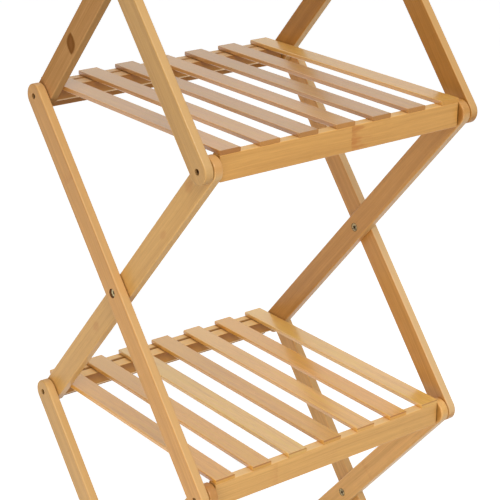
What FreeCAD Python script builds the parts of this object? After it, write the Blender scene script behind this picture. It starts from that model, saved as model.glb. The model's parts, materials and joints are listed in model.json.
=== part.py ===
import FreeCAD, Part
import os
from math import atan2, cos, degrees, pi, sin

# Folding slatted shelf. X runs along the rails, Y from front to back, Z up.
# The origin lies on the floor, in the middle of the open shelf's outline.
# All sizes are in millimetres and describe the shelf standing open.

Vector = FreeCAD.Vector
ALONG_X = Vector(1, 0, 0)
ORIGIN = Vector(0, 0, 0)

# Frame
tier_count = 3
tier_height = 333.0
pivot_depth = 281.0

# Shelf panels
slat_count = 7
slat_pitch = 45.0
slat_width = 23.0
slat_thickness = 4.5
slat_round = 0.9
rail_height = 25.5
rail_thickness = 11.5
rail_round = 1.2

# Cross bars that tie the left side to the right side
bar_size = 15.0
bar_round = 1.5
slat_clearance = 0.3
hook_gap = 1.0

# Crossed strips of the sides
strip_width = 25.5
strip_thickness = 9.5
strip_gap = 0.8
strip_round = 1.4
side_gap = 1.25

# Pivot screws and the rivets in the middle of each cross
screw_radius = 2.95
running_gap = 0.05
screw_grip = 28.0
screw_recess = 2.2
tip_room = 0.6
socket_flats = 3.0
socket_depth = 2.5
rivet_head_radius = 4.4
rivet_head_height = 1.6
rivet_recess = 2.4
rivet_flush_height = 1.2
head_seat_gap = 0.1
head_side_gap = 0.3

# Derived sizes
end_radius = strip_width / 2
slat_length = 1.5 * rail_thickness + pivot_depth + bar_size / 2 + hook_gap
rail_length = (slat_count - 1) * slat_pitch + slat_width

# The slats lie higher on the front rail than on the back bar, so the panel slopes to the back.
front_rise = rail_height / 2 + slat_thickness
back_rise = bar_size / 2 + slat_clearance + slat_thickness
panel_slope = atan2(front_rise - back_rise, pivot_depth)
back_reach = (slat_length - rail_thickness / 2) * cos(panel_slope) + front_rise * sin(panel_slope)

# Side faces of the strips, measured from the middle plane
inner_near = rail_length / 2 + side_gap
inner_far = inner_near + strip_thickness
outer_near = inner_far + strip_gap
outer_far = outer_near + strip_thickness
head_far = outer_far - rivet_recess
head_near = head_far - rivet_head_height

# Stations from front to back
front_pivot = (end_radius - back_reach) / 2
back_pivot = front_pivot + pivot_depth
middle_pivot = (front_pivot + back_pivot) / 2
slat_front = front_pivot - rail_thickness / 2
hook_front = slat_front + slat_length - rail_thickness


def pivot_level(tier):
    return end_radius + tier * tier_height


def middle_level(tier):
    return pivot_level(tier) - tier_height / 2


def board(start, size, edge_radius, round_ends=False):
    # Planed stick with its four long edges rounded, and on request the edges of its ends too.
    blank = Part.makeBox(size.x, size.y, size.z, start)
    half_length = max(size.x, size.y, size.z) / 2
    edges = [edge for edge in blank.Edges if round_ends or edge.Length > half_length]
    return blank.makeFillet(edge_radius, edges)


def bore(x_start, x_end, y, z, radius):
    return Part.makeCylinder(radius, x_end - x_start, Vector(x_start, y, z), ALONG_X)


def left_copy(shape):
    return shape.mirror(ORIGIN, ALONG_X)


def both_sides(shape):
    return Part.makeCompound([left_copy(shape), shape])


def seated(shape, tier):
    # Turns a panel piece about the front pivot until its slats lie on the back bar.
    pivot = Vector(0, front_pivot, pivot_level(tier))
    return shape.rotated(pivot, ALONG_X, -degrees(panel_slope))


def slat(tier, index):
    middle_x = (index - (slat_count - 1) / 2) * slat_pitch
    start = Vector(middle_x - slat_width / 2, slat_front, pivot_level(tier) + rail_height / 2)
    return seated(board(start, Vector(slat_width, slat_length, slat_thickness), slat_round), tier)


def rail(tier, y_start):
    start = Vector(-rail_length / 2, y_start, pivot_level(tier) - rail_height / 2)
    size = Vector(rail_length, rail_thickness, rail_height)
    return seated(board(start, size, rail_round, round_ends=True), tier)


def front_rail(tier):
    hole_start = rail_length / 2 - screw_grip - tip_room
    hole = bore(hole_start, rail_length / 2, front_pivot, pivot_level(tier), screw_radius + running_gap)
    return rail(tier, slat_front).cut(both_sides(hole))


def cross_bar(half_length, y, z):
    start = Vector(-half_length, y - bar_size / 2, z - bar_size / 2)
    blank = board(start, Vector(2 * half_length, bar_size, bar_size), bar_round)
    hole = bore(half_length - screw_grip - tip_room, half_length, y, z, screw_radius)
    return blank.cut(both_sides(hole))


def strip_blank(x_start, low, high):
    # Board with two round ends, drawn in the YZ plane from its lower to its upper pivot.
    angle = atan2(high[1] - low[1], high[0] - low[0])
    along = Vector(0, cos(angle), sin(angle)) * end_radius
    across = Vector(0, -sin(angle), cos(angle)) * end_radius
    foot = Vector(x_start, low[0], low[1])
    head = Vector(x_start, high[0], high[1])
    outline = Part.Wire([
        Part.LineSegment(foot + across, head + across).toShape(),
        Part.Arc(head + across, head + along, head - across).toShape(),
        Part.LineSegment(head - across, foot - across).toShape(),
        Part.Arc(foot - across, foot - along, foot + across).toShape(),
    ])
    blank = Part.Face(outline).extrude(Vector(strip_thickness, 0, 0))
    rim = []
    for edge in blank.Edges:
        if edge.BoundBox.XLength < strip_thickness / 2:
            rim.append(edge)
    return blank.makeFillet(strip_round, rim)


def inner_strip(tier):
    # Runs from the back at the foot to the front at the head, next to the rails.
    low = (back_pivot, pivot_level(tier - 1))
    high = (front_pivot, pivot_level(tier))
    shape = strip_blank(inner_near, low, high)
    for y, z in (low, high):
        shape = shape.cut(bore(inner_near, inner_far, y, z, screw_radius + running_gap))
    y = middle_pivot
    z = middle_level(tier)
    shape = shape.cut(bore(inner_near, inner_far, y, z, screw_radius))
    return shape.cut(bore(inner_near, inner_near + rivet_flush_height, y, z, rivet_head_radius))


def outer_strip(tier):
    # Runs from the front at the foot to the back at the head, outside the inner strip.
    low = (front_pivot, pivot_level(tier - 1))
    high = (back_pivot, pivot_level(tier))
    shape = strip_blank(outer_near, low, high)
    y = middle_pivot
    z = middle_level(tier)
    for pivot_y, pivot_z in (low, high, (y, z)):
        shape = shape.cut(bore(outer_near, outer_far, pivot_y, pivot_z, screw_radius + running_gap))
    seat = bore(head_near - head_seat_gap, outer_far, y, z, rivet_head_radius + head_side_gap)
    return shape.cut(seat)


def hexagon_socket(x_start, y, z):
    corner = socket_flats / 2 / cos(pi / 6)
    corners = []
    for turn in range(7):
        angle = turn * pi / 3
        corners.append(Vector(x_start, y + corner * cos(angle), z + corner * sin(angle)))
    return Part.Face(Part.makePolygon(corners)).extrude(Vector(socket_depth, 0, 0))


def pivot_screw(x_seat, x_face, y, z):
    # Shank from its tip inside a rail or bar to a hexagon socket below the strip's face.
    x_end = x_face - screw_recess
    shank = bore(x_seat - screw_grip, x_end, y, z, screw_radius)
    return shank.cut(hexagon_socket(x_end - socket_depth, y, z))


def cross_rivet(tier):
    # Head sunk in the outer strip, shank through both strips, flush head on the inner face.
    y = middle_pivot
    z = middle_level(tier)
    shank = bore(inner_near, head_far, y, z, screw_radius)
    sunk_head = bore(head_near, head_far, y, z, rivet_head_radius)
    flush_head = bore(inner_near, inner_near + rivet_flush_height, y, z, rivet_head_radius)
    solid = shank.fuse([sunk_head, flush_head]).removeSplitter()
    for socket_start in (inner_near, head_far - socket_depth):
        solid = solid.cut(hexagon_socket(socket_start, y, z))
    return solid


def save(name, shape):
    shape.exportStep("parts/%s.step" % name)


def save_panel(tier):
    save("front_rail_%d" % tier, front_rail(tier))
    save("hook_rail_%d" % tier, rail(tier, hook_front))
    for index in range(slat_count):
        save("slat_%d_%d" % (tier, index + 1), slat(tier, index))


def save_cross(tier):
    inner = inner_strip(tier)
    outer = outer_strip(tier)
    save("inner_right_%d" % tier, inner)
    save("inner_left_%d" % tier, left_copy(inner))
    save("outer_right_%d" % tier, outer)
    save("outer_left_%d" % tier, left_copy(outer))
    save("cross_rivets_%d" % tier, both_sides(cross_rivet(tier)))


def save_pivots(tier):
    # At the top there is no next cross, so each pivot joins a single strip there.
    level = pivot_level(tier)
    at_top = tier == tier_count
    front_face = inner_far if at_top else outer_far
    bar_half = (outer_near if at_top else inner_near) - side_gap
    save("front_screws_%d" % tier, both_sides(pivot_screw(rail_length / 2, front_face, front_pivot, level)))
    save("back_bar_%d" % tier, cross_bar(bar_half, back_pivot, level))
    save("back_screws_%d" % tier, both_sides(pivot_screw(bar_half, outer_far, back_pivot, level)))


def save_feet():
    level = pivot_level(0)
    front_half = outer_near - side_gap
    back_half = inner_near - side_gap
    save("foot_bar_front", cross_bar(front_half, front_pivot, level))
    save("foot_screws_front", both_sides(pivot_screw(front_half, outer_far, front_pivot, level)))
    save("foot_bar_back", cross_bar(back_half, back_pivot, level))
    save("foot_screws_back", both_sides(pivot_screw(back_half, inner_far, back_pivot, level)))


os.makedirs("parts", exist_ok=True)
save_feet()
for tier in range(1, tier_count + 1):
    save_panel(tier)
    save_cross(tier)
    save_pivots(tier)
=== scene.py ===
import json
import math
import random

import bpy
from mathutils import Matrix, Vector

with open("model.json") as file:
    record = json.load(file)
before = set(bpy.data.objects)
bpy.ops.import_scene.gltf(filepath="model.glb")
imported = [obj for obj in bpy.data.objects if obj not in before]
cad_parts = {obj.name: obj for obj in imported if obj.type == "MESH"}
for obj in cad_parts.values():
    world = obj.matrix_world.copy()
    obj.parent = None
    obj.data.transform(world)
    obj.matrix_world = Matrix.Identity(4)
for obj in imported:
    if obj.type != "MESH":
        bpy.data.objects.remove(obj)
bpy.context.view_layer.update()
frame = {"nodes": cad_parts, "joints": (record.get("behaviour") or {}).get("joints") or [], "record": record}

NODES = frame["nodes"]
MM = 1000.0
RIGHT = Vector((1.0, 0.0, 0.0))
BACK = Vector((0.0, 1.0, 0.0))
UP = Vector((0.0, 0.0, 1.0))


# Piece frames: x runs along a piece, y across its face, z through its thickness

joint_at = {joint["name"]: Vector(joint["pos_m"]) for joint in frame["joints"]}
panel_up = Vector(frame["record"]["mounts"][0]["axis"]).normalized()
panel_along = Vector((0.0, panel_up.z, -panel_up.y))


def front_pivot(level):
    if level:
        return joint_at["front_level_%d" % level]
    return Vector((0.0, joint_at["front_level_1"].y, joint_at["fold"].z))


def back_pivot(level):
    return joint_at["back_level_%d" % level] if level else joint_at["fold"]


def is_strip(node):
    return node.startswith(("inner", "outer"))


def axes_of(node):
    if node.startswith("slat"):
        return panel_along, RIGHT, panel_up
    if is_strip(node):
        tier = int(node[-1])
        if node.startswith("inner"):
            low, high = back_pivot(tier - 1), front_pivot(tier)
        else:
            low, high = front_pivot(tier - 1), back_pivot(tier)
        along = (high - low).normalized()
        return along, RIGHT.cross(along), RIGHT
    if "rail" in node:
        return RIGHT, panel_up, -panel_along
    return RIGHT, UP, -BACK


def frame_of(node):
    axes = axes_of(node)
    spans = []
    for axis in axes:
        reach = [vertex.co.dot(axis) for vertex in NODES[node].data.vertices]
        spans.append((min(reach), max(reach)))
    centre = Vector()
    for axis, (low, high) in zip(axes, spans):
        centre += axis * (low + high) / 2
    turn = Matrix(axes).transposed().to_euler()
    half = Vector([(high - low) / 2 for low, high in spans])
    return centre, turn, half


def radius_of(node):
    heights = [vertex.co.z for vertex in NODES[node].data.vertices]
    return (max(heights) - min(heights)) / 2


# Sizes of the pieces and the room around screws and rivet heads, in millimetres

SLAT_WIDTH = 2 * frame_of("slat_1_1")[2].y * MM
SLAT_PITCH = (frame_of("slat_1_2")[0].x - frame_of("slat_1_1")[0].x) * MM
RUNNING_GAP = 0.05
HEAD_GAP = 0.3
SCREW_HOLE = radius_of("front_screws_1") * MM + RUNNING_GAP
RIVET_HOLE = radius_of("cross_rivets_1") * MM + HEAD_GAP


# Node building helpers

class Graph:
    def __init__(self, tree):
        self.tree = tree

    def add(self, kind, **values):
        node = self.tree.nodes.new(kind)
        for key, value in values.items():
            setattr(node, key, value)
        return node

    def put(self, value, socket):
        if hasattr(value, "is_output"):
            self.tree.links.new(value, socket)
        elif value is not None:
            socket.default_value = value

    def math(self, operation, first, second=None):
        node = self.add("ShaderNodeMath", operation=operation)
        self.put(first, node.inputs[0])
        self.put(second, node.inputs[1])
        return node.outputs[0]

    def plus(self, first, second):
        return self.math("ADD", first, second)

    def minus(self, first, second):
        return self.math("SUBTRACT", first, second)

    def times(self, first, second):
        return self.math("MULTIPLY", first, second)

    def larger(self, first, second):
        return self.math("MAXIMUM", first, second)

    def unsigned(self, value):
        return self.math("ABSOLUTE", value)

    def vector(self, operation, first, second=None):
        node = self.add("ShaderNodeVectorMath", operation=operation)
        self.put(first, node.inputs[0])
        self.put(second, node.inputs[1])
        return node.outputs["Value"] if operation in ("DOT_PRODUCT", "LENGTH") else node.outputs[0]

    def split(self, vector):
        node = self.add("ShaderNodeSeparateXYZ")
        self.put(vector, node.inputs[0])
        return node.outputs

    def join(self, x, y, z):
        node = self.add("ShaderNodeCombineXYZ")
        for value, socket in zip((x, y, z), node.inputs):
            self.put(value, socket)
        return node.outputs[0]

    def noise(self, vector, stretch, detail, rough=0.5):
        node = self.add("ShaderNodeTexNoise")
        self.put(self.vector("MULTIPLY", vector, stretch), node.inputs["Vector"])
        node.inputs["Scale"].default_value = 1.0
        node.inputs["Detail"].default_value = detail
        node.inputs["Roughness"].default_value = rough
        return node.outputs["Fac"]

    def step(self, value, low, high):
        # Soft step from 0 at low to 1 at high.
        node = self.add("ShaderNodeMapRange", interpolation_type="SMOOTHSTEP")
        self.put(value, node.inputs[0])
        self.put(low, node.inputs[1])
        self.put(high, node.inputs[2])
        return node.outputs[0]

    def scaled(self, value, low, high):
        # Spreads 0 to 1 over low to high.
        node = self.add("ShaderNodeMapRange", clamp=False)
        self.put(value, node.inputs[0])
        node.inputs[3].default_value = low
        node.inputs[4].default_value = high
        return node.outputs[0]

    def blend(self, factor, first, second):
        node = self.add("ShaderNodeMix", data_type="FLOAT")
        self.put(factor, node.inputs[0])
        self.put(first, node.inputs[2])
        self.put(second, node.inputs[3])
        return node.outputs[0]

    def mix(self, factor, first, second, blend="MIX"):
        node = self.add("ShaderNodeMix", data_type="RGBA", blend_type=blend)
        self.put(factor, node.inputs[0])
        self.put(first, node.inputs[6])
        self.put(second, node.inputs[7])
        return node.outputs[2]

    def bump(self, height, shader, strength, distance):
        node = self.add("ShaderNodeBump")
        node.inputs["Strength"].default_value = strength
        node.inputs["Distance"].default_value = distance
        self.put(height, node.inputs["Height"])
        self.put(node.outputs["Normal"], shader.inputs["Normal"])


def new_material(name):
    material = bpy.data.materials.new(name)
    material.use_nodes = True
    graph = Graph(material.node_tree)
    shader = material.node_tree.nodes["Principled BSDF"]
    return material, graph, shader


def dress(name, material):
    NODES[name].data.materials.clear()
    NODES[name].data.materials.append(material)


# Colours

def rgb(red, green, blue):
    # Colour given as it looks on screen, 0 to 255, turned into scene light.
    out = []
    for channel in (red, green, blue):
        level = channel / 255.0
        out.append(level / 12.92 if level <= 0.04045 else ((level + 0.055) / 1.055) ** 2.4)
    return (out[0], out[1], out[2], 1.0)


def grey(level):
    return (level, level, level, 1.0)


def tint(tone, red, green, blue):
    return (min(1.0, tone[0] * red), min(1.0, tone[1] * green), min(1.0, tone[2] * blue), 1.0)


def shade(tone, gain):
    return tint(tone, gain, gain, gain)


# Tones of the bamboo

HONEY = rgb(206, 157, 86)
GOLDEN = rgb(226, 184, 114)
PALE = rgb(230, 194, 128)
AMBER = rgb(208, 154, 80)
STRAW = rgb(217, 165, 92)
PEACH = rgb(223, 174, 88)
TAN = rgb(200, 150, 84)
ROSY = rgb(205, 161, 108)

SLAT_TONES = {
    1: (PEACH, PEACH, PALE, PEACH, GOLDEN, PEACH, PALE),
    2: (ROSY, ROSY, ROSY, ROSY, ROSY, ROSY, GOLDEN),
    3: (GOLDEN, ROSY, PEACH, GOLDEN, ROSY, PEACH, ROSY),
}

# Under their glossy lacquer the slats are deeper in colour than they look, by tier.
UNDER_LACQUER = {1: (0.94, 0.80, 0.48), 2: (1.0, 0.88, 0.60), 3: (1.0, 0.88, 0.60)}

# Listed pieces have their tone tinted. On the slats and on inner_left_3 this is the piece's own tone; on the
# other strips it is painted light and painted shade, paler on the right of the lowest tier and darker on the
# two tiers above.
LIT_PALE = (1.28, 1.28, 1.38)
PALER = (1.11, 1.09, 1.11)
DIMMER = (0.87, 0.87, 0.90)
# Painted shade on the middle tier's strips.
SHADED = (0.95, 0.85, 0.76)
# Painted shade on the top tier's right strips.
DEEP_SHADE = (0.76, 0.63, 0.46)
SMOKED = (0.82, 0.77, 1.02)
PLAIN = (1.0, 1.0, 1.0)
CANES = {
    "inner_right_1": LIT_PALE,
    "outer_right_1": PALER,
    "slat_1_5": PALER,
    "slat_1_6": PALER,
    "slat_1_7": PALER,
    "slat_2_3": DIMMER,
    "slat_2_5": DIMMER,
    "outer_left_2": SHADED,
    "inner_right_2": SHADED,
    "outer_right_2": SHADED,
    "outer_left_3": DIMMER,
    "inner_right_3": DEEP_SHADE,
    "outer_right_3": DEEP_SHADE,
    "inner_left_3": SMOKED,
}

# Gloss of the wood itself and weight of the lacquer over it.
SLAT_FINISH = (0.5, 1.0)
FRAME_FINISH = (0.3, 0.18)
WORN_FINISH = {DEEP_SHADE: (0.16, 0.1), SMOKED: (0.0, 0.0)}

# Tints of a piece's own tone, for its grain, joints, scars and cut ends, and for painted highlights, painted
# reflections and painted shade.
DARK_FIBRE = (0.84, 0.79, 0.70)
PALE_FIBRE = (1.10, 1.12, 1.16)
DASH = (0.66, 0.54, 0.40)
YELLOW_STREAK = (1.0, 1.06, 0.72)
JOINT_BAND = (0.78, 0.57, 0.40)
JOINT_LINE = (0.62, 0.46, 0.30)
SCAR_MIDDLE = (0.50, 0.38, 0.28)
SCAR_RIM = (0.40, 0.29, 0.17)
# Painted highlight on the long edges.
EDGE_HIGHLIGHT = (1.22, 1.25, 1.30)
FIBRE_ENDS = (0.74, 0.66, 0.55)
END_LINE = (0.60, 0.46, 0.34)
# Painted reflection that makes the slats' back ends paler.
SLAT_BACK_SHEEN = (1.20, 1.28, 1.38)
RAIL_TOP = (1.22, 1.48, 2.30)
# Painted shade on the bars' and hook rails' fronts, and painted highlights on their undersides.
HOOK_RAIL_FRONT_SHADE = (0.58, 0.46, 0.15)
HOOK_RAIL_BOTTOM_HIGHLIGHT = (1.15, 1.45, 2.6)
BAR_FRONT_SHADE_HIGH = (0.48, 0.32, 0.10)
BAR_FRONT_SHADE_LOW = (0.88, 0.76, 0.38)
BAR_BOTTOM_HIGHLIGHT = (1.7, 2.5, 5.0)
# Painted shade in the holes.
HOLE_SHADE = (0.13, 0.06, 0.01)
# Painted shade beside the front rail's ends.
RAIL_END_SHADE = (0.50, 0.40, 0.20)
# Painted shade in the gap between bar and hook rail and beside the slats.
GAP_SHADE = (0.42, 0.27, 0.12)

# The strips' narrow faces are painted paler than their broad faces: a painted highlight where they face the
# light.
RIM_LIGHT = tint(HONEY, 1.13, 1.29, 1.92)
RIM_LIGHT_TINT = {
    "inner_left_3": (0.60, 0.60, 0.60),
    "outer_left_3": (0.92, 0.92, 0.92),
    "outer_right_2": (1.16, 1.32, 1.65),
    "inner_right_3": (1.12, 1.30, 1.50),
}

# The round ends of two strips are tinted: inner_left_1's darker and redder as painted shade, inner_left_2's
# a little rosier.
TIP_SHADE_AND_TINT = {"inner_left_1": (0.74, 0.55, 0.50), "inner_left_2": (0.98, 0.90, 1.05)}

# Painted light on the tops of the back bars and hook rails, by tier.
LIT_BAR_TOP = {"1": rgb(255, 208, 134), "2": rgb(224, 182, 128), "3": rgb(224, 182, 128)}

# The cut ends of the slats, by tier, and of one slat that is darker there.
END_TINT = {
    "slat_1": (0.92, 0.89, 0.84),
    "slat_2": (0.78, 0.64, 0.34),
    "slat_3": (0.80, 0.68, 0.50),
    "slat_2_1": (0.60, 0.44, 0.18),
}

# Painted shade on the long sides of the slats, by tier.
FLANK_SHADE = {"slat_1": (1.00, 0.94, 0.85), "slat_2": (0.82, 0.68, 0.48), "slat_3": (0.90, 0.80, 0.65)}

# Cane joints that show: place from the middle, reach, strength and the side they fade to.
JOINTS = {"front_rail_2": [(8.0, 22.0, 1.0, 1)]}

# Bud scars: place along and across from the middle, length, width, lean, strength and blur.
SCARS = {
    "inner_left_3": [(-131.0, 1.4, 22.0, 15.0, math.radians(-42.0), 0.95, 0.25)],
    "inner_left_2": [
        (183.0, -5.4, 17.0, 10.0, 0.0, 0.5, 0.6),
        (110.6, 2.4, 14.0, 6.0, 0.0, 0.4, 0.6),
        (-72.7, 0.1, 14.0, 8.0, 0.0, 0.4, 0.6),
    ],
}


# Bamboo

# Cosines between which a surface comes to face an axis
FACING = (0.6, 0.95)
ROUNDED = (0.5, 0.95)
FLANKING = (0.6, 0.98)
CUT_OFF = (0.75, 0.95)
ROUND_TIP = (0.25, 0.70)
UNDERNEATH = (-0.35, -0.8)

# How far a seed shifts the grain along, across and through a piece
SEED_SHIFT = (613.0, 71.0, 37.0)

# Streaks of the grain: waves per millimetre along and across, detail and roughness
BROAD = (0.0030, 0.18, 2.0, 0.55)
MEDIUM = (0.005, 0.70, 2.0, 0.55)
FINE = (0.014, 2.2, 2.0, 0.6)
DASHES = (0.03, 2.6, 1.0, 0.55)
CLOUD = (0.012, 0.035, 2.0, 0.55)
PATCHES = (0.07, 0.45, 2.0, 0.55)
RAGGED = (0.05, 0.24, 3.0, 0.6)
WARP = (0.02, 0.28, 2.0, 0.5)
YELLOW = (0.016, 0.22, 2.0, 0.55)
DRIFT_STRETCH = (0.006, 0.03, 0.03)
TIP_STRETCH = (0.0, 1.5, 1.5)

# How far fibres drift and cane joints bend to either side, in millimetres
DRIFT_REACH = 4.0
WARP_REACH = 1.2

# Where layers fade out and where they are full, in millimetres
EDGE_REACH = (1.5, 0.2)
JOINT_START = (-1.4, 1.0)
LINE_REACH = (0.9, 0.1)
HOLE_REACH = (0.25, 0.05)
RAIL_END_SHADE_REACH = (1.0, -4.0)
BOTTOM_REACH = (2.0, 1.2)
GAP_REACH = (2.4, 1.0)
BESIDE_REACH = (2.6, 0.2)
END_LINE_REACH = (0.2, 1.2)
BACK_SHEEN_START = 20.0

# How uneven the tone is in small patches
SLAT_MOTTLE = 0.16
FRAME_MOTTLE = 0.08


class Bamboo:
    # Material of one piece, laid on in layers in the piece's own frame, in millimetres.

    def __init__(self, node, tone, seed):
        self.node = node
        self.tone = tone
        self.material, self.graph, self.shader = new_material("bamboo_" + node)
        centre, turn, half = frame_of(node)
        along, across, _ = axes_of(node)
        graph = self.graph
        coords = graph.add("ShaderNodeTexCoord")
        place = graph.add("ShaderNodeMapping", vector_type="TEXTURE")
        place.inputs["Location"].default_value = centre
        place.inputs["Rotation"].default_value = turn
        place.inputs["Scale"].default_value = (1 / MM, 1 / MM, 1 / MM)
        graph.put(coords.outputs["Object"], place.inputs["Vector"])
        self.half = half * MM
        self.pivot = self.half.x - self.half.y
        self.local = place.outputs["Vector"]
        self.x, self.y, self.z = graph.split(self.local)
        self.normal = coords.outputs["Normal"]
        self.sideways = self.toward(across)
        self.endways = graph.unsigned(self.toward(along))

        # The fibres wander a little sideways along the piece.
        straight = graph.vector("ADD", self.local, [seed * part for part in SEED_SHIFT])
        drift = graph.noise(straight, DRIFT_STRETCH, 1.0)
        bend = graph.join(0.0, graph.scaled(drift, -DRIFT_REACH, DRIFT_REACH), 0.0)
        self.fibres = graph.vector("ADD", straight, bend)
        self.medium = self.streaks(*MEDIUM)
        self.fine = self.streaks(*FINE)
        self.cloud = self.streaks(*CLOUD)
        self.ragged = self.streaks(*RAGGED)
        self.dashes = graph.step(self.streaks(*DASHES), 0.62, 0.74)

    def streaks(self, along, across, detail, rough):
        return self.graph.noise(self.fibres, (along, across, across), detail, rough)

    def toward(self, axis):
        return self.graph.vector("DOT_PRODUCT", self.normal, axis)

    def distance_from(self, at):
        # Distance from a point on the middle line of the piece's face.
        graph = self.graph
        run = graph.minus(self.x, at)
        return graph.math("SQRT", graph.plus(graph.times(run, run), graph.times(self.y, self.y)))

    def tinted(self, values):
        return tint(self.tone, *values)

    def cover(self, mask, colour, share=1.0):
        self.colour = self.graph.mix(self.graph.times(mask, share), self.colour, colour)

    def lay_grain(self):
        graph = self.graph
        broad = self.streaks(*BROAD)
        level = graph.plus(graph.times(broad, 0.42), graph.times(self.medium, 0.33))
        level = graph.plus(level, graph.times(self.fine, 0.25))
        level = graph.step(level, 0.30, 0.70)
        self.colour = graph.mix(level, self.tinted(DARK_FIBRE), self.tinted(PALE_FIBRE))
        self.cover(graph.scaled(self.cloud, -0.05, 0.30), self.tone)
        self.cover(self.dashes, self.tinted(DASH), share=0.38)
        rough = graph.plus(graph.times(self.fine, 0.16), graph.times(self.cloud, 0.12))
        self.rough = graph.plus(rough, 0.30)

    def lay_patches(self):
        # Soft patches a few millimetres long make the surface uneven.
        depth = SLAT_MOTTLE if self.node.startswith("slat") else FRAME_MOTTLE
        patches = self.graph.scaled(self.streaks(*PATCHES), 1.0 - depth, 1.0 + depth)
        self.colour = self.graph.mix(1.0, self.colour, patches, "MULTIPLY")

    def lay_joints(self, joints):
        # Joints of the bamboo cane cross the piece as a broken line that fades to one side.
        graph = self.graph
        warp = graph.scaled(self.streaks(*WARP), -WARP_REACH, WARP_REACH)
        blotches = graph.step(self.ragged, 0.40, 0.60)
        broken = graph.step(self.ragged, 0.42, 0.62)
        for at, width, strength, side in joints:
            off = graph.plus(graph.times(graph.minus(self.x, at), side), warp)
            reach = graph.scaled(blotches, width * 0.5, width * 1.5)
            fade = graph.minus(1.0, graph.step(off, 0.0, reach))
            band = graph.times(fade, graph.step(off, *JOINT_START))
            band = graph.times(band, graph.scaled(blotches, 0.45, 1.0))
            line = graph.times(graph.step(graph.unsigned(off), *LINE_REACH), broken)
            self.cover(band, self.tinted(JOINT_BAND), strength)
            self.cover(line, self.tinted(JOINT_LINE), strength * 0.4)

    def lay_scars(self, scars):
        # Bud scars are small leaf shapes. Strong ones are darkest at their rim, faint ones like a joint.
        graph = self.graph
        for at, aside, length, width, lean, strength, blur in scars:
            apart = graph.join(graph.minus(self.x, at), graph.minus(self.y, aside), 0.0)
            leaf_axis = Vector((math.cos(lean), math.sin(lean), 0.0))
            leaf_side = Vector((-math.sin(lean), math.cos(lean), 0.0))
            run = graph.math("DIVIDE", graph.vector("DOT_PRODUCT", apart, leaf_axis), length / 2)
            rise = graph.math("DIVIDE", graph.vector("DOT_PRODUCT", apart, leaf_side), width / 2)
            away = graph.plus(graph.times(run, run), graph.unsigned(rise))
            away = graph.plus(away, graph.scaled(self.ragged, -0.2, 0.2))
            leaf = self.tinted(JOINT_BAND)
            if strength > 0.5:
                outer = graph.step(away, 0.1, 0.7)
                leaf = graph.mix(outer, self.tinted(SCAR_MIDDLE), self.tinted(SCAR_RIM))
            self.cover(graph.step(away, 1.0 + blur, 1.0 - blur), leaf, strength)

    def paint_edge_highlights(self):
        # Long edges are painted paler in patches: a painted highlight along the rounded edges.
        graph = self.graph
        from_side = graph.minus(self.half.y, graph.unsigned(self.y))
        from_face = graph.minus(self.half.z, graph.unsigned(self.z))
        edge = graph.step(graph.larger(from_side, from_face), *EDGE_REACH)
        self.cover(graph.times(edge, graph.scaled(self.medium, 0.1, 0.55)), self.tinted(EDGE_HIGHLIGHT))

    def dress_rail(self):
        self.cover(self.graph.step(self.sideways, *FACING), self.tinted(RAIL_TOP), share=0.85)

    def dress_strip(self, coat):
        graph = self.graph
        # The narrow faces get a painted highlight.
        narrow = graph.step(graph.unsigned(self.sideways), *ROUNDED)
        rim_light = tint(RIM_LIGHT, *RIM_LIGHT_TINT.get(self.node, PLAIN))
        self.cover(narrow, graph.mix(graph.scaled(self.fine, 0.2, 0.6), rim_light, self.colour))
        if self.node in TIP_SHADE_AND_TINT:
            tip = graph.times(graph.step(self.endways, *ROUND_TIP), graph.scaled(self.medium, 0.4, 1.0))
            self.cover(tip, self.tinted(TIP_SHADE_AND_TINT[self.node]))
        # The hole walls are painted dark as shade, and made rough and unlacquered.
        hole_shade = self.shade_in_holes()
        self.cover(hole_shade, self.tinted(HOLE_SHADE))
        self.rough = graph.larger(self.rough, hole_shade)
        self.lacquer = graph.scaled(hole_shade, coat, 0.0) if coat else coat

    def shade_in_holes(self):
        # Painted shade on the walls of the three holes in a strip, most in the rivet's hole.
        graph = self.graph
        hole_shade = 0.0
        for at, radius, share in (
            (-self.pivot, SCREW_HOLE, 0.5),
            (0.0, RIVET_HOLE, 0.9),
            (self.pivot, SCREW_HOLE, 0.5),
        ):
            hole = graph.step(graph.minus(self.distance_from(at), radius), *HOLE_REACH)
            hole_shade = graph.larger(hole_shade, graph.times(hole, share))
        return hole_shade

    def shade_round_end(self):
        # Painted shade darkens an inner strip's face beside the end of the front rail.
        graph = self.graph
        to_rail = RIGHT if "left" in self.node else -RIGHT
        hidden = graph.step(self.toward(to_rail), *FACING)
        past_end = graph.minus(self.distance_from(self.pivot), self.half.y)
        round_end = graph.step(past_end, *RAIL_END_SHADE_REACH)
        self.cover(graph.times(hidden, round_end), self.tinted(RAIL_END_SHADE), share=0.8)

    def dress_slat(self):
        # Slats have yellow streaks, back ends made paler by a painted reflection, and long sides darkened by
        # painted shade.
        graph = self.graph
        yellow = graph.step(self.streaks(*YELLOW), 0.46, 0.62)
        self.cover(yellow, self.tinted(YELLOW_STREAK), share=0.7)
        # The back ends get a painted reflection.
        back_sheen = graph.step(self.x, BACK_SHEEN_START, self.half.x)
        self.cover(back_sheen, self.tinted(SLAT_BACK_SHEEN), share=0.75)
        # The long sides get painted shade.
        flank = graph.step(graph.unsigned(self.sideways), *FLANKING)
        self.cover(flank, self.tinted(FLANK_SHADE[self.node[:6]]), share=0.85)

    def dress_back(self):
        # Back bars and hook rails have painted light on their tops and painted shade on their fronts, with
        # painted shade between them.
        graph = self.graph
        topside = graph.step(self.sideways, *ROUNDED)
        self.cover(topside, LIT_BAR_TOP[self.node[-1]], share=0.85)
        frontward = graph.step(self.toward(-BACK), *ROUNDED)
        if "bar" in self.node:
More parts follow.
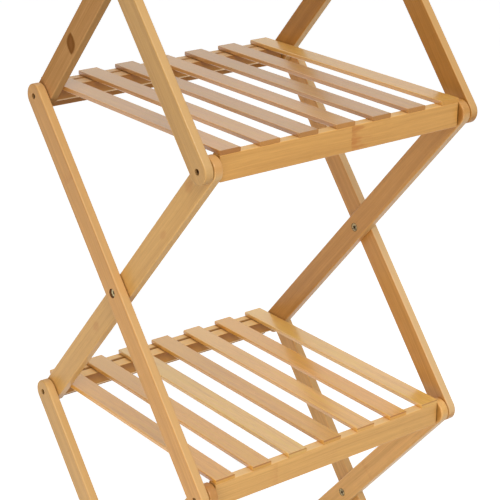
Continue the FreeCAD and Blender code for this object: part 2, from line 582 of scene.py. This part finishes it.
            # The bar's front is painted shade, darkest at the top under the slats.
            fall = graph.step(self.y, self.half.y, -self.half.y)
            front_shade = graph.mix(fall, self.tinted(BAR_FRONT_SHADE_HIGH), self.tinted(BAR_FRONT_SHADE_LOW))
            self.cover(frontward, front_shade, share=0.9)
            # The bar's lower edges and underside get a painted highlight.
            bottom = graph.step(graph.plus(self.y, self.half.y), *BOTTOM_REACH)
            self.cover(bottom, self.tinted(BAR_BOTTOM_HIGHLIGHT), share=0.9)
            self.lay_gap_shade(graph.times(self.z, -1.0), topside)
        else:
            # The hook rail's front is painted shade.
            self.cover(frontward, self.tinted(HOOK_RAIL_FRONT_SHADE), share=0.9)
            self.lay_gap_shade(self.z, topside)
            # The hook rail's underside gets a painted highlight.
            self.cover(graph.step(self.sideways, *UNDERNEATH), self.tinted(HOOK_RAIL_BOTTOM_HIGHLIGHT))

    def lay_gap_shade(self, inward, topside):
        # Painted shade lies in the gap between bar and rail and along the slats' sides.
        graph = self.graph
        gap = graph.step(graph.minus(self.half.z, inward), *GAP_REACH)
        beside = graph.minus(graph.math("PINGPONG", self.x, SLAT_PITCH / 2), SLAT_WIDTH / 2)
        corner = graph.times(graph.step(beside, *BESIDE_REACH), 0.8)
        self.cover(graph.times(graph.larger(gap, corner), topside), self.tinted(GAP_SHADE), share=0.85)

    def cut_ends(self, coat):
        # Cut ends show darker fibre tips, soak up the lacquer and stay dull.
        graph = self.graph
        tips = graph.add("ShaderNodeTexVoronoi", feature="F1")
        graph.put(graph.vector("MULTIPLY", self.local, TIP_STRETCH), tips.inputs["Vector"])
        dots = graph.step(tips.outputs["Distance"], 0.10, 0.38)
        end_tone = self.tinted(END_TINT.get(self.node) or END_TINT.get(self.node[:6], FIBRE_ENDS))
        cut = graph.step(self.endways, *CUT_OFF)
        self.cover(cut, graph.mix(dots, shade(end_tone, 0.6), end_tone))
        if self.node.startswith("slat_1"):
            # A dark line runs along the top of the lower shelf's pale ends.
            self.cover(graph.times(cut, graph.step(self.z, *END_LINE_REACH)), self.tinted(END_LINE))
        self.lacquer = graph.scaled(cut, coat, coat * 0.15)

    def finish(self, sheen):
        graph = self.graph
        graph.put(self.colour, self.shader.inputs["Base Color"])
        graph.put(self.rough, self.shader.inputs["Roughness"])
        graph.put(self.lacquer, self.shader.inputs["Coat Weight"])
        self.shader.inputs["Specular IOR Level"].default_value = sheen
        self.shader.inputs["Coat Roughness"].default_value = 0.22
        self.shader.inputs["Coat IOR"].default_value = 1.7
        relief = graph.plus(self.fine, graph.times(self.medium, 0.6))
        relief = graph.minus(relief, graph.times(self.dashes, 0.5))
        graph.bump(relief, self.shader, strength=0.22, distance=0.0004)
        return self.material


def bamboo(node, tone, seed, joints):
    usual = SLAT_FINISH if node.startswith("slat") else FRAME_FINISH
    sheen, coat = WORN_FINISH.get(CANES.get(node), usual)
    piece = Bamboo(node, tone, seed)
    piece.lay_grain()
    piece.lay_patches()
    piece.lay_joints(joints)
    piece.lay_scars(SCARS.get(node, []))
    piece.paint_edge_highlights()
    if "rail" in node:
        piece.dress_rail()
    if is_strip(node):
        piece.dress_strip(coat)
    if node.startswith("inner"):
        piece.shade_round_end()
    if node.startswith("slat"):
        piece.dress_slat()
    if node.startswith(("back_bar", "hook_rail")):
        piece.dress_back()
    if not is_strip(node):
        piece.cut_ends(coat)
    return piece.finish(sheen)


def base_tone(node):
    if node.startswith("slat"):
        tier, index = [int(word) for word in node.split("_")[1:]]
        tone = tint(SLAT_TONES[tier][index - 1], *UNDER_LACQUER[tier])
    elif is_strip(node):
        tone = HONEY
    elif node == "front_rail_1":
        tone = STRAW
    else:
        tone = AMBER if "rail" in node else TAN
    return tint(tone, *CANES.get(node, PLAIN))


def random_joints(rng, half_length):
    joints = []
    for _ in range(rng.choice((0, 1, 1))):
        at = rng.uniform(-0.85, 0.85) * half_length
        width = rng.uniform(5.0, 12.0)
        strength = rng.uniform(0.12, 0.38)
        side = rng.choice((-1, 1))
        joints.append((at, width, strength, side))
    return joints


def dress_wood():
    rng = random.Random(41)
    for node in sorted(NODES):
        if "screws" in node or "rivets" in node:
            continue
        joints = random_joints(rng, frame_of(node)[2].x * MM)
        if node.startswith("slat"):
            joints = []
        tone = shade(base_tone(node), rng.uniform(0.97, 1.03))
        seed = rng.uniform(0.0, 10.0)
        dress(node, bamboo(node, tone, seed, JOINTS.get(node, joints)))


# Steel, with places in metres and noise in waves per metre

ZINC = rgb(255, 238, 188)
STAINED_ZINC = rgb(168, 146, 96)
DULL_STEEL = rgb(104, 68, 34)
SOCKET_SHADE = rgb(70, 48, 18)
SOCKET_REACH = 0.0019
STAIN_FADE = 0.002
BRUSHED = (900.0, 5200.0, 5200.0)
STAINS = (420.0, 420.0, 420.0)
STRIPS_MEET = frame_of("outer_right_1")[0].x - frame_of("outer_right_1")[2].z


def steel(name, colour, metal, rough, middle=None):
    # A rivet, given by its middle, has stained inner ends and sockets darkened with painted shade.
    material, graph, shader = new_material(name)
    place = graph.add("ShaderNodeTexCoord").outputs["Object"]
    fine = graph.noise(place, BRUSHED, 2.0)
    stain = graph.noise(place, STAINS, 3.0)
    worn = graph.mix(graph.step(stain, 0.35, 0.75), shade(colour, 0.72), shade(colour, 1.1))
    if middle is not None:
        outward = graph.unsigned(graph.split(place)[0])
        spots = graph.step(stain, 0.42, 0.58)
        stained = graph.mix(spots, shade(STAINED_ZINC, 0.35), shade(STAINED_ZINC, 1.25))
        worn = graph.mix(graph.step(outward, STRIPS_MEET - STAIN_FADE, STRIPS_MEET), stained, worn)
        aside = graph.vector("MULTIPLY", graph.vector("SUBTRACT", place, middle), BACK + UP)
        # The socket is painted dark as shade.
        socket = graph.step(graph.vector("LENGTH", aside), SOCKET_REACH, SOCKET_REACH * 0.8)
        worn = graph.mix(graph.times(socket, 0.9), worn, SOCKET_SHADE)
    graph.put(worn, shader.inputs["Base Color"])
    graph.put(graph.scaled(fine, rough - 0.08, rough + 0.14), shader.inputs["Roughness"])
    shader.inputs["Metallic"].default_value = metal
    graph.bump(fine, shader, strength=0.25, distance=0.0001)
    return material


def dress_steel():
    dull = steel("dull_steel", DULL_STEEL, metal=1.0, rough=0.5)
    for node in NODES:
        if "rivets" in node:
            tier = node[-1]
            middle = joint_at["cross_" + tier]
            dress(node, steel("zinc_steel_" + tier, ZINC, metal=0.2, rough=0.34, middle=middle))
        elif "screws" in node:
            dress(node, dull)


# Floor and light

WHITE = 1.0
FLOOR_REACH = 14.0
FLOOR_GLOW = 0.45
FLOOR_BOUNCE = grey(0.5)
FLOOR_CLOUDS = (3.0, 3.0, 3.0)
DULL_PAPER = grey(0.93)
PALE_PAPER = grey(0.96)

# Levels of the studio's light, and the directions between which they change
FRONT_LIGHT = 0.62
LEFT_LIGHT = 0.34
LOW_WALL = 0.42
LEFTWARD = (0.1, -0.9)
WALL_RISE = (0.16, 0.40)


def make_floor():
    mesh = bpy.data.meshes.new("floor")
    corners = []
    for side, depth in ((-1, -1), (1, -1), (1, 1), (-1, 1)):
        corners.append((side * FLOOR_REACH, depth * FLOOR_REACH, 0))
    mesh.from_pydata(corners, [], [(0, 1, 2, 3)])
    floor = bpy.data.objects.new("floor", mesh)
    bpy.context.scene.collection.objects.link(floor)
    material, graph, shader = new_material("floor_paper")
    place = graph.add("ShaderNodeTexCoord").outputs["Object"]
    cloud = graph.noise(place, FLOOR_CLOUDS, 3.0)
    # The paper looks white, but it throws less light back at the object.
    path = graph.add("ShaderNodeLightPath")
    seen = graph.larger(path.outputs["Is Camera Ray"], path.outputs["Is Glossy Ray"])
    paper = graph.mix(cloud, DULL_PAPER, PALE_PAPER)
    graph.put(graph.mix(seen, FLOOR_BOUNCE, paper), shader.inputs["Base Color"])
    graph.put(graph.times(seen, FLOOR_GLOW), shader.inputs["Emission Strength"])
    shader.inputs["Emission Color"].default_value = grey(WHITE)
    shader.inputs["Roughness"].default_value = 0.9
    shader.inputs["Specular IOR Level"].default_value = 0.1
    mesh.materials.append(material)


def make_world():
    world = bpy.data.worlds.new("studio")
    bpy.context.scene.world = world
    world.use_nodes = True
    world.node_tree.nodes.clear()
    graph = Graph(world.node_tree)
    path = graph.add("ShaderNodeLightPath")
    seen = graph.larger(path.outputs["Is Camera Ray"], path.outputs["Is Transmission Ray"])
    mirrored = path.outputs["Is Glossy Ray"]
    coords = graph.add("ShaderNodeTexCoord")
    toward_x, _, toward_z = graph.split(coords.outputs["Generated"])
    # The left side of the studio is dimmer than its front and top.
    soft = graph.scaled(graph.step(toward_x, *LEFTWARD), FRONT_LIGHT, LEFT_LIGHT)
    # In reflections the wall of the studio is dim near the floor and bright higher up.
    wall = graph.scaled(graph.step(toward_z, *WALL_RISE), LOW_WALL, WHITE)
    background = graph.add("ShaderNodeBackground")
    background.inputs["Color"].default_value = grey(WHITE)
    graph.put(graph.blend(seen, graph.blend(mirrored, soft, wall), WHITE), background.inputs["Strength"])
    out = graph.add("ShaderNodeOutputWorld")
    graph.put(background.outputs[0], out.inputs["Surface"])


def area_light(name, place, target, size, power):
    data = bpy.data.lights.new(name, "AREA")
    data.shape = "SQUARE"
    data.size = size
    data.energy = power
    lamp = bpy.data.objects.new(name, data)
    lamp.location = place
    lamp.rotation_euler = (Vector(target) - Vector(place)).to_track_quat("-Z", "Y").to_euler()
    bpy.context.scene.collection.objects.link(lamp)


# Camera, fitted to the photo: angles in degrees, lens in millimetres, place in metres

CAMERA_PLACE = (-0.956212, -1.229860, 1.147547)
CAMERA_AZIMUTH = 38.0522
CAMERA_ELEVATION = 21.9919
CAMERA_ROLL = 1.2022
CAMERA_LENS = 116.0623
CAMERA_SENSOR = 36.0


def make_camera():
    azimuth = math.radians(CAMERA_AZIMUTH)
    elevation = math.radians(CAMERA_ELEVATION)
    roll = math.radians(CAMERA_ROLL)
    level = Vector((math.sin(azimuth), math.cos(azimuth), 0.0))
    ahead = level * math.cos(elevation) - UP * math.sin(elevation)
    side = Vector((math.cos(azimuth), -math.sin(azimuth), 0.0))
    top = side.cross(ahead)
    right = side * math.cos(roll) + top * math.sin(roll)
    up = top * math.cos(roll) - side * math.sin(roll)
    data = bpy.data.cameras.new("camera")
    data.sensor_width = CAMERA_SENSOR
    data.sensor_height = CAMERA_SENSOR
    data.lens = CAMERA_LENS
    camera = bpy.data.objects.new("camera", data)
    turn = Matrix((right, up, -ahead)).transposed().to_4x4()
    camera.matrix_world = Matrix.Translation(CAMERA_PLACE) @ turn
    bpy.context.scene.collection.objects.link(camera)
    bpy.context.scene.camera = camera


dress_wood()
dress_steel()
make_floor()
make_world()
area_light("key", place=(-0.8, -1.6, 2.3), target=(0.0, 0.0, 0.5), size=1.3, power=36.0)
area_light("low_fill", place=(-1.1, -0.45, 0.15), target=(0.1, 0.0, 0.2), size=0.7, power=6.5)
make_camera()
bpy.context.scene.view_settings.view_transform = "Standard"
